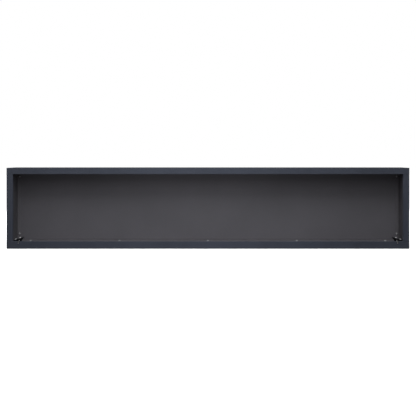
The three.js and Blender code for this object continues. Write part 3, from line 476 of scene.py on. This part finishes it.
def fit_pan_screws():
    """The floor's and the screen's screws stand for their CAD nodes. Each is left turned its own way."""
    for name in sorted(n for n in NODES if "_screw_" in n):
        low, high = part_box(name)
        faces_up = name.startswith("floor")
        radius = (high.x - low.x) / 2
        head = FLOOR_HEAD if faces_up else SCREEN_HEAD
        bm = pan_head(radius, head, SHANK_RADIUS, SHANK_LENGTH)
        centre = (low + high) / 2
        seat = Vector((centre.x, centre.y, high.z - head) if faces_up else (centre.x, low.y + head, centre.z))
        twist = Matrix.Rotation(centre.x * 37 + centre.z * 11, 4, "Z")
        way = (0, 0, 1) if faces_up else (0, -1, 0)
        bm.transform(Matrix.Translation(seat) @ turned_to(way) @ twist)
        screw = piece_from(bm, name + "_piece", "zinc_steel", BODY_OF[name], TURNED_SMOOTH, "bright_zinc")
        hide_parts(name)


BRACKET_SLOPE = math.radians(17.7)  # of a glass bracket's top edge, which rises towards the middle
BRACKET_SCREWS = (846 * MM, 866 * MM)  # distances from the middle
BRACKET_SCREW_REAR = 4 * MM  # from the edge's rear
BRACKET_SCREW = (4.0 * MM, 3.0 * MM, 1.8 * MM, 5 * MM)  # head radius and height, shank radius and length


def fit_bracket_screws():
    """Two small pan-head screws in each glass bracket's rolled, sloping edge."""
    for side, sign in (("left", -1), ("right", 1)):
        bracket = f"glass_bracket_{side}"
        low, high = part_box(bracket)
        tip = min(abs(low.x), abs(high.x))
        way = (sign * math.sin(BRACKET_SLOPE), 0, math.cos(BRACKET_SLOPE))
        for i, along in enumerate(BRACKET_SCREWS):
            drop = (along - tip) * math.tan(BRACKET_SLOPE)
            seat = (sign * along, high.y - BRACKET_SCREW_REAR, high.z - drop)
            bm = pan_head(*BRACKET_SCREW)
            bm.transform(Matrix.Translation(seat) @ turned_to(way))
            name = f"{bracket}_screw_{i + 1}"
            piece_from(bm, name, "zinc_steel", BODY_OF[bracket], TURNED_SMOOTH, "pale_zinc")


CSK_RADIUS = 3.4 * MM  # a countersunk head's radius at the sheet's face
CSK_FOOT = CSK_RADIUS * 0.62  # and at its foot
CSK_DEPTH = 1.0 * MM


def csk_tools(places, way):
    """Tools that sink a countersink in a sheet at each place."""
    bm = bmesh.new()
    for place in places:
        made = bmesh.ops.create_cone(
            bm,
            cap_ends=True,
            segments=24,
            radius1=CSK_FOOT,
            radius2=CSK_RADIUS * 1.15,
            depth=CSK_DEPTH * 1.3,
        )["verts"]
        matrix = Matrix.Translation(place) @ turned_to(way) @ Matrix.Translation((0, 0, -CSK_DEPTH * 0.35))
        bmesh.ops.transform(bm, matrix=matrix, verts=made)
    return bm


def csk_screws(name, places, way):
    """Countersunk screws, flush with the sheet, as one group."""
    whole = bmesh.new()
    for i, place in enumerate(places):
        profile = [(0, -CSK_DEPTH), (CSK_FOOT, -CSK_DEPTH * 0.98), (CSK_RADIUS * 0.97, -0.12 * MM)]
        profile += [(CSK_RADIUS * 0.9, -0.03 * MM), (0, -0.02 * MM)]
        bm = carve(revolve(profile, 24), cross_recess(CSK_RADIUS * 0.5, CSK_DEPTH * 0.7))
        bm.transform(Matrix.Translation(place) @ turned_to(way) @ Matrix.Rotation(i * 1.7, 4, "Z"))
        mesh = bpy.data.meshes.new("screw")
        bm.to_mesh(mesh)
        bm.free()
        whole.from_mesh(mesh)
        bpy.data.meshes.remove(mesh)
    piece_from(whole, name, "zinc_steel", "casing", TURNED_SMOOTH)


# ---------------------------------------------------------------- sheet metal

RAIL_FIXINGS_X = [400 * MM * i for i in (-2, -1, 0, 1, 2)]
STILE_FIXINGS_Z = [70 * MM, 180 * MM, 290 * MM]
COVER_FIXINGS_X = [200 * MM * i for i in range(-4, 5)]
COVER_FIXINGS_Z = [100 * MM, 180 * MM, 260 * MM]
COVER_EDGE = 8 * MM  # from the rear cover's edge to its fixings
FRAME_FIXING_BACK = 1.5 * MM  # how far the frame's fixings lie behind the middle of its depth


def sheet_fixings():
    """Each fixed sheet's screw places, and the way that they face."""
    low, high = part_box("frame_top_rail")
    middle = (low.y + high.y) / 2 + FRAME_FIXING_BACK
    foot, head = LOW.z + COVER_EDGE, HIGH.z - COVER_EDGE
    left, right = LOW.x + COVER_EDGE, HIGH.x - COVER_EDGE
    cover = [(x, HIGH.y, z) for x in COVER_FIXINGS_X for z in (foot, head)]
    cover += [(x, HIGH.y, z) for x in (left, right) for z in COVER_FIXINGS_Z]
    return {
        "frame_top_rail": ([(x, middle, HIGH.z) for x in RAIL_FIXINGS_X], (0, 0, 1)),
        "frame_bottom_rail": ([(x, middle, LOW.z) for x in RAIL_FIXINGS_X], (0, 0, -1)),
        "frame_left_stile": ([(LOW.x, middle, z) for z in STILE_FIXINGS_Z], (-1, 0, 0)),
        "frame_right_stile": ([(HIGH.x, middle, z) for z in STILE_FIXINGS_Z], (1, 0, 0)),
        "rear_cover": (cover, (0, 1, 0)),
    }


def build_sheet_metal():
    """Every sheet gets the fold and edge radii of its own thickness and make."""
    for node, (places, way) in sheet_fixings().items():
        # The rear cover and the top rail take the casing's coat, whose painted shade darkens the top rail's
        # top face and fold.
        look = "casing_coat_painted_shade" if node in ("rear_cover", "frame_top_rail") else None
        refined(node, fold=0.6 * MM, tools=csk_tools(places, way), look=look)
        csk_screws(node + "_fixings", places, way)
    # The casing's sheets take the coat with painted shade on their top, base and sides.
    for node in ("casing_top", "casing_base", "casing_left_side", "casing_right_side"):
        refined(node, look="casing_coat_painted_shade")
    for node in ("recess_floor", "recess_ceiling", "recess_left_wall", "recess_right_wall"):
        refined(node, fold=0.8 * MM)
    refined("flame_screen", fold=0, edge=0.3 * MM)
    refined("outlet_grille", fold=0, edge=0.3 * MM)
    for side in ("left", "right"):
        refined(f"glass_bracket_{side}", fold=0, edge=0.2 * MM)
        refined(f"glass_clip_{side}", fold=0, edge=0.2 * MM)
        refined(f"hanging_bracket_{side}", fold=0, edge=0.3 * MM)
    refined("junction_cover", fold=0, edge=0.15 * MM)


# ---------------------------------------------------------------- controls


def build_controls():
    refined("control_bezel", fold=0, edge=0.3 * MM)
    refined("power_rocker", fold=0, edge=0.5 * MM)
    refined("receiver_window", fold=0, edge=0.3 * MM)
    for name in ("flame_button", "heat_button", "timer_button"):
        refined(name, fold=0, edge=0.4 * MM)


def facing_part(node, way, keep):
    """The centre and normal of the part of a node's surface that faces a way and that keep picks."""
    faces = [f for f in NODES[node].data.polygons if f.normal.dot(Vector(way)) > 0.9 and keep(f.center)]
    area = sum(f.area for f in faces)
    centre = sum((f.center * f.area for f in faces), Vector()) / area
    return centre, sum((f.normal * f.area for f in faces), Vector()).normalized()


MARK_HALF = 1.9 * MM  # half height of both marks
BAR_STROKE = 0.7 * MM
RING_STROKE = 0.65 * MM
MARK_RAISED = 0.06 * MM  # half the paint's thickness


def bar_mark():
    """A flat upright bar round the origin."""
    bm = bmesh.new()
    bmesh.ops.create_cube(bm, size=1)
    bm.transform(Matrix.Diagonal((BAR_STROKE, 2 * MARK_HALF, 2 * MARK_RAISED, 1)))
    return bm


def ring_mark():
    """A flat ring round the origin."""
    SIDES = 32
    bm = bmesh.new()
    outer, inner = MARK_HALF, MARK_HALF - RING_STROKE
    section = ((outer, -MARK_RAISED), (outer, MARK_RAISED), (inner, MARK_RAISED), (inner, -MARK_RAISED))
    turns = [2 * math.pi * i / SIDES for i in range(SIDES)]
    loops = [[bm.verts.new((r * math.cos(a), r * math.sin(a), z)) for a in turns] for r, z in section]
    for k, loop in enumerate(loops):
        last = loops[k - 1]
        for i in range(SIDES):
            bm.faces.new((last[i - 1], last[i], loop[i], loop[i - 1]))
    bmesh.ops.recalc_face_normals(bm, faces=bm.faces)
    return bm


def mark_rocker():
    """A painted bar and a painted ring on the rocker's two halves."""
    low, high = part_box("power_rocker")
    middle = (low.x + high.x) / 2
    for name, bm, side in (("rocker_bar_mark", bar_mark(), -1), ("rocker_ring_mark", ring_mark(), 1)):
        centre, normal = facing_part("power_rocker", (0, 0, -1), lambda c: (c.x - middle) * side > 0)
        bm.transform(Matrix.Translation(centre + normal * MARK_RAISED) @ turned_to(normal))
        piece_from(bm, name, "black_plastic", BODY_OF["power_rocker"], look="mark_paint")


# ---------------------------------------------------------------- studio


FRONT_TARGET = (-0.06, 0, 0.2)
REAR_TARGET = (0, 0.1, 0.2)
LIT_LEVEL = 0.125  # the world's light on the object
SEEN_LEVEL = 1.0  # the world as the camera sees it
FLOOR_REACH = 14
FLOOR_GLOW = (0.75, 1.0)  # the floor's own light near the object and away from it
FLOOR_FADE = (1.2, 4.0)  # the distances between which it grows


def area_light(name, place, target, size, power):
    """A soft box, in metres and watts, that the camera doesn't see."""
    data = bpy.data.lights.new(name, "AREA")
    data.shape = "RECTANGLE"
    data.size, data.size_y = size
    data.energy = power
    made = bpy.data.objects.new(name, data)
    made.location = place
    made.rotation_euler = (Vector(target) - Vector(place)).to_track_quat("-Z", "Y").to_euler()
    made.visible_camera = False
    bpy.context.scene.collection.objects.link(made)
    return made


def build_floor():
    mesh = bpy.data.meshes.new("floor")
    corners = [(x * FLOOR_REACH, y * FLOOR_REACH, 0) for x, y in ((-1, -1), (1, -1), (1, 1), (-1, 1))]
    mesh.from_pydata(corners, [], [(0, 1, 2, 3)])
    floor = bpy.data.objects.new("floor", mesh)
    floor.location.z = LOW.z - 0.5 * MM
    bpy.context.scene.collection.objects.link(floor)
    n = Nodes("floor")
    tone = n.spread(n.noise(3, 2), 0, 1)
    n.join(n.mix(tone, (0.90, 0.90, 0.90), (0.93, 0.93, 0.93)), n.shader.inputs["Base Color"])
    n.set(Roughness=0.9, Emission_Color=(1, 1, 1, 1))
    away = n.add("VectorMath", operation="LENGTH")
    n.join(n.place, away.inputs[0])
    glow = n.spread(away.outputs["Value"], *FLOOR_GLOW, *FLOOR_FADE)
    n.join(glow, n.shader.inputs["Emission Strength"])
    mesh.materials.append(n.material)
    floor.visible_diffuse = False
    floor.visible_glossy = False


def build_lights():
    """Two large boxes light the front from above, two small ones fill the recess, and two light the rear."""
    area_light("key", (-0.06, -0.94, 1.97), FRONT_TARGET, (1.6, 2.2), 30)
    area_light("top", (-0.06, -1.3, 2.6), FRONT_TARGET, (3.0, 1.6), 63)
    fill = area_light("fill", (-0.06, -1.4, 0.9), FRONT_TARGET, (0.6, 0.5), 5.4)
    low_fill = area_light("low_fill", (-0.06, -0.85, 0.2), FRONT_TARGET, (0.4, 0.3), 2.0)
    fill.visible_glossy = False
    low_fill.visible_glossy = False
    for side in (-1, 1):
        area_light(f"rear_{side}", (side * 2.3, 1.5, 0.75), REAR_TARGET, (1.4, 1.0), 34)


def build_world():
    """A white backdrop that gives the object only a little light."""
    world = bpy.data.worlds.new("studio")
    bpy.context.scene.world = world
    world.use_nodes = True
    tree = world.node_tree
    sky = tree.nodes["Background"]
    sky.inputs["Color"].default_value = (1, 1, 1, 1)
    path = tree.nodes.new("ShaderNodeLightPath")
    level = tree.nodes.new("ShaderNodeMapRange")
    level.inputs["To Min"].default_value = LIT_LEVEL
    level.inputs["To Max"].default_value = SEEN_LEVEL
    tree.links.new(path.outputs["Is Camera Ray"], level.inputs["Value"])
    tree.links.new(level.outputs["Result"], sky.inputs["Strength"])
    view = bpy.context.scene.view_settings
    view.view_transform = "Standard"
    view.look = "None"


add_camera()
dress_cad()
build_sheet_metal()
fit_pan_screws()
fit_bracket_screws()
build_controls()
mark_rocker()
build_floor()
build_lights()
build_world()
